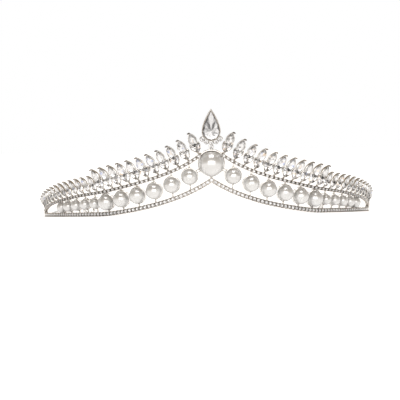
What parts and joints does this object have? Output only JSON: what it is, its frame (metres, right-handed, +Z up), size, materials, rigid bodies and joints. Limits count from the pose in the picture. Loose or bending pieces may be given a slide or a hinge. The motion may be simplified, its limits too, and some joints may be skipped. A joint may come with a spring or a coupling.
{
  "type": "pearl and crystal bridal tiara",
  "caption": "Open V-fronted tiara: two stone-set rails with pearls between them, upright leaf-shaped crystals, a teardrop at the peak and two looped wire arms.",
  "frame": {"origin": "under the middle of the whole tiara, on the surface that it rests on", "axes": "+X towards the wearer's left, which is the right-hand side seen from the front, +Z up, and the front with its peak faces -Y"},
  "size_m": [0.1564, 0.136, 0.0495],
  "materials": {
    "frame_metal": "bright silver plate",
    "arm_wire": "bright drawn wire",
    "pearl": "pearl lustre",
    "crystal": "faceted, clear"
  },
  "bodies": {
    "root": {"frame": "frame_metal", "wire_arm_left": "arm_wire", "wire_arm_right": "arm_wire", "pearl_centre": "pearl", "pearl_left_1": "pearl", "pearl_left_2": "pearl", "pearl_left_3": "pearl", "pearl_left_4": "pearl", "pearl_left_5": "pearl", "pearl_left_6": "pearl", "pearl_left_7": "pearl", "pearl_left_8": "pearl", "pearl_left_9": "pearl", "pearl_left_10": "pearl", "pearl_left_11": "pearl", "pearl_right_1": "pearl", "pearl_right_2": "pearl", "pearl_right_3": "pearl", "pearl_right_4": "pearl", "pearl_right_5": "pearl", "pearl_right_6": "pearl", "pearl_right_7": "pearl", "pearl_right_8": "pearl", "pearl_right_9": "pearl", "pearl_right_10": "pearl", "pearl_right_11": "pearl", "teardrop_stone": "crystal", "cradle_stones": "crystal", "main_stones_left": "crystal", "main_stones_right": "crystal", "leaf_stones_left": "crystal", "leaf_stones_right": "crystal"}
  },
  "joints": []
}
